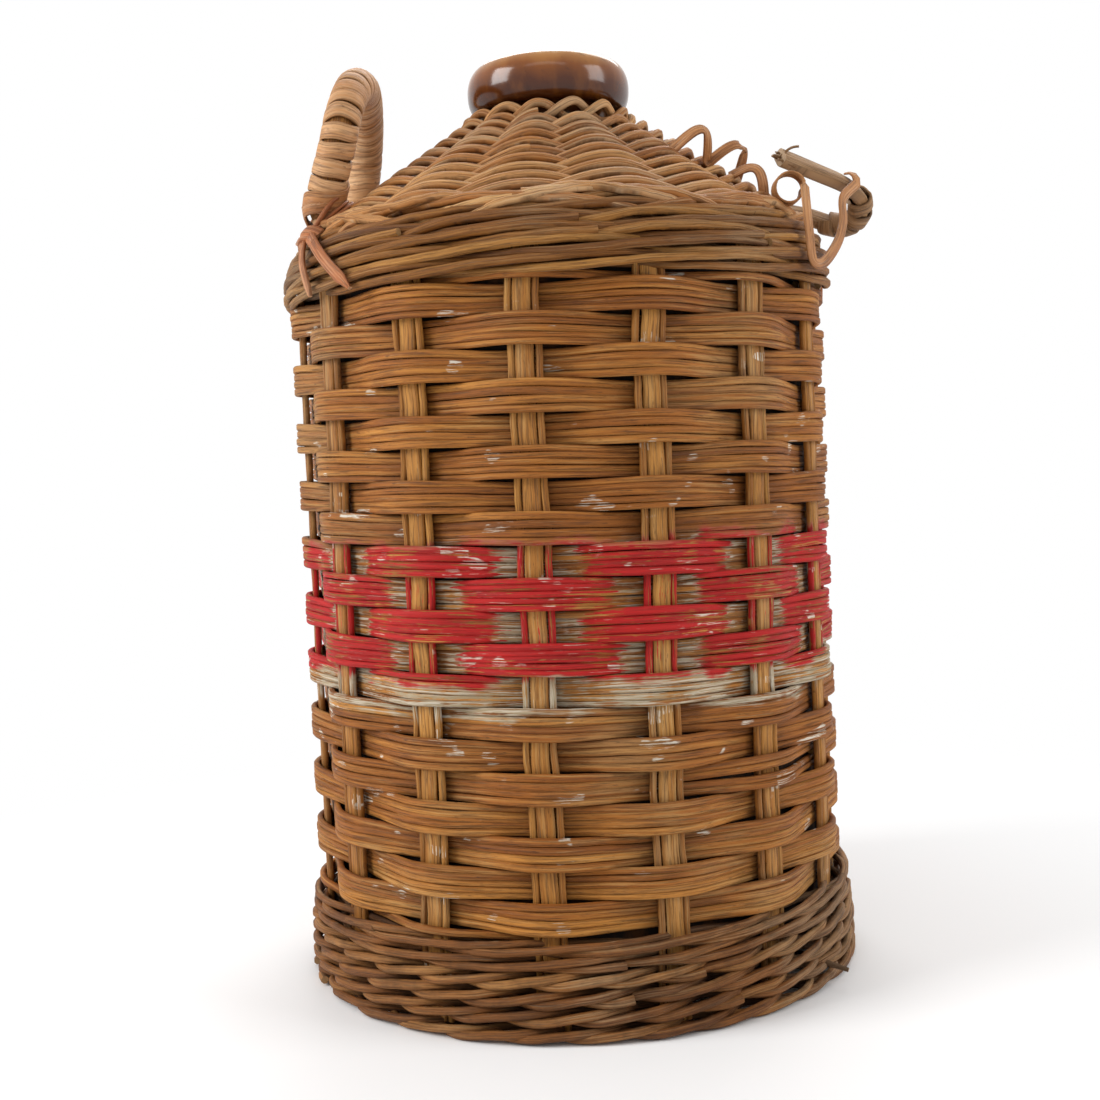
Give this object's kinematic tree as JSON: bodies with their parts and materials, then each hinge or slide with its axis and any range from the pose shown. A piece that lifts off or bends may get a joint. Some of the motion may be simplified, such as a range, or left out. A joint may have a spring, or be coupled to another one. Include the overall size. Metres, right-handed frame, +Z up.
{
  "type": "rum flagon",
  "caption": "Glazed stoneware jar in a woven cane casing, with a stout rod foot, a shoulder border, a sound wrapped handle and a broken one.",
  "frame": {"origin": "middle of the flat face that the flagon stands on", "axes": "+Z up along the jar's axis, -Y towards the front, the sound handle at -X"},
  "size_m": [0.2265, 0.2072, 0.3371],
  "materials": {
    "stoneware": "glossy caramel brown glaze",
    "cane": "worn split cane with remains of red and grey paint",
    "rod": "dull weathered willow rods",
    "wrap": "satin flat cane",
    "base": "dull brown sticks and cane"
  },
  "bodies": {
    "root": {"base_sticks": "base", "base_weave": "base", "body_weave_1": "cane", "body_weave_2": "cane", "body_weave_3": "cane", "body_weave_4": "cane", "body_weave_5": "cane", "border_rod_1": "rod", "border_rod_2": "rod", "border_rod_3": "rod", "border_rod_4": "rod", "border_rod_5": "rod", "cone_weave_1": "cane", "cone_weave_2": "cane", "foot_rod_1": "rod", "foot_rod_2": "rod", "foot_rod_3": "rod", "foot_rod_4": "rod", "foot_rod_5": "rod", "foot_rod_6": "rod", "left_front_lashing": "wrap", "left_handle_core": "rod", "left_handle_wrap": "wrap", "left_rear_lashing": "wrap", "right_curl_inner": "wrap", "right_curl_outer": "wrap", "right_handle_core": "rod", "right_handle_wrap": "wrap", "right_lashing": "wrap", "right_strap": "wrap", "stake_01": "cane", "stake_02": "cane", "stake_03": "cane", "stake_04": "cane", "stake_05": "cane", "stake_06": "cane", "stake_07": "cane", "stake_08": "cane", "stake_09": "cane", "stake_10": "cane", "stake_11": "cane", "stake_12": "cane", "stake_13": "cane", "stake_14": "cane", "stake_15": "cane", "stoneware_jar": "stoneware"}
  },
  "joints": []
}
